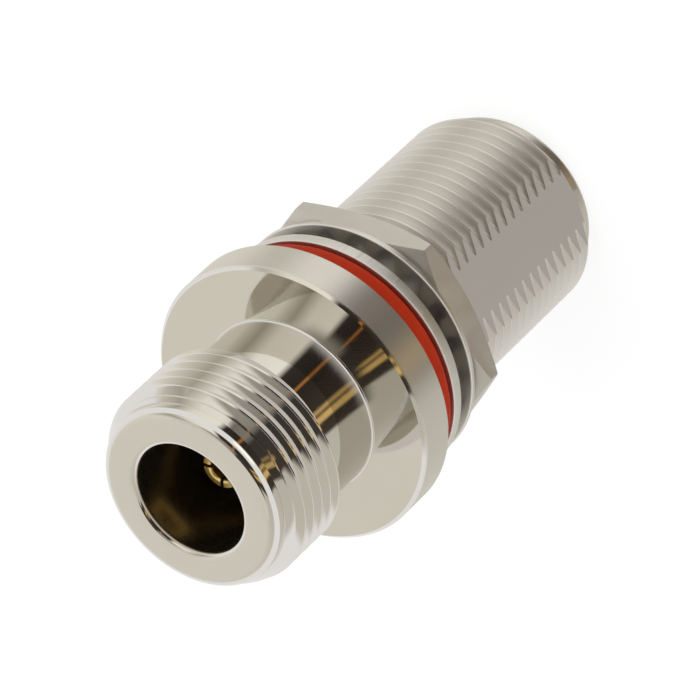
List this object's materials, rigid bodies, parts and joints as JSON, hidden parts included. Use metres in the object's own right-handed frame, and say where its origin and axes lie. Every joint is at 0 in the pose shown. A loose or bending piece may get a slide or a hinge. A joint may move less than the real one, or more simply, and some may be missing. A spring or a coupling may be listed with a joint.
{
  "type": "n type connector",
  "caption": "Sealed bulkhead adapter with a threaded coaxial socket at each end, a round flange, seal, washers and nut.",
  "frame": {"origin": "centre of the rear end face, on the turned axis", "axes": "+Z along the axis out of the front socket, +X out of the barrel's flat"},
  "size_m": [0.022, 0.022, 0.0422],
  "materials": {
    "nickel_bright": "polished nickel plate",
    "nickel_satin": "satin nickel plate",
    "gold_plate": "polished gold plate",
    "seal_rubber": "smooth silicone rubber",
    "white_insulator": "matte"
  },
  "bodies": {
    "connector": {"body": "nickel_bright", "front_contact": "gold_plate", "rear_contact": "gold_plate", "insulator": "white_insulator", "retaining_bushing": "nickel_bright", "seal_ring": "seal_rubber"},
    "washers": {"lock_washer": "nickel_satin", "flat_washer": "nickel_satin"},
    "nut": {"hex_nut": "nickel_satin"}
  },
  "joints": [
    {"name": "nut_travel", "type": "slide", "parent": "connector", "child": "washers", "axis": [0, 0, -1], "range_m": [0, 0.01799]},
    {"name": "nut_turn", "type": "hinge", "parent": "washers", "child": "nut", "pos_m": [0, 0, 0.0194], "axis": [0, 0, -1], "range_deg": [0, 6120]}
  ],
  "couplings": [
    {"joint": "nut_turn", "follows": "nut_travel", "rad_per_m": 5936.9}
  ]
}
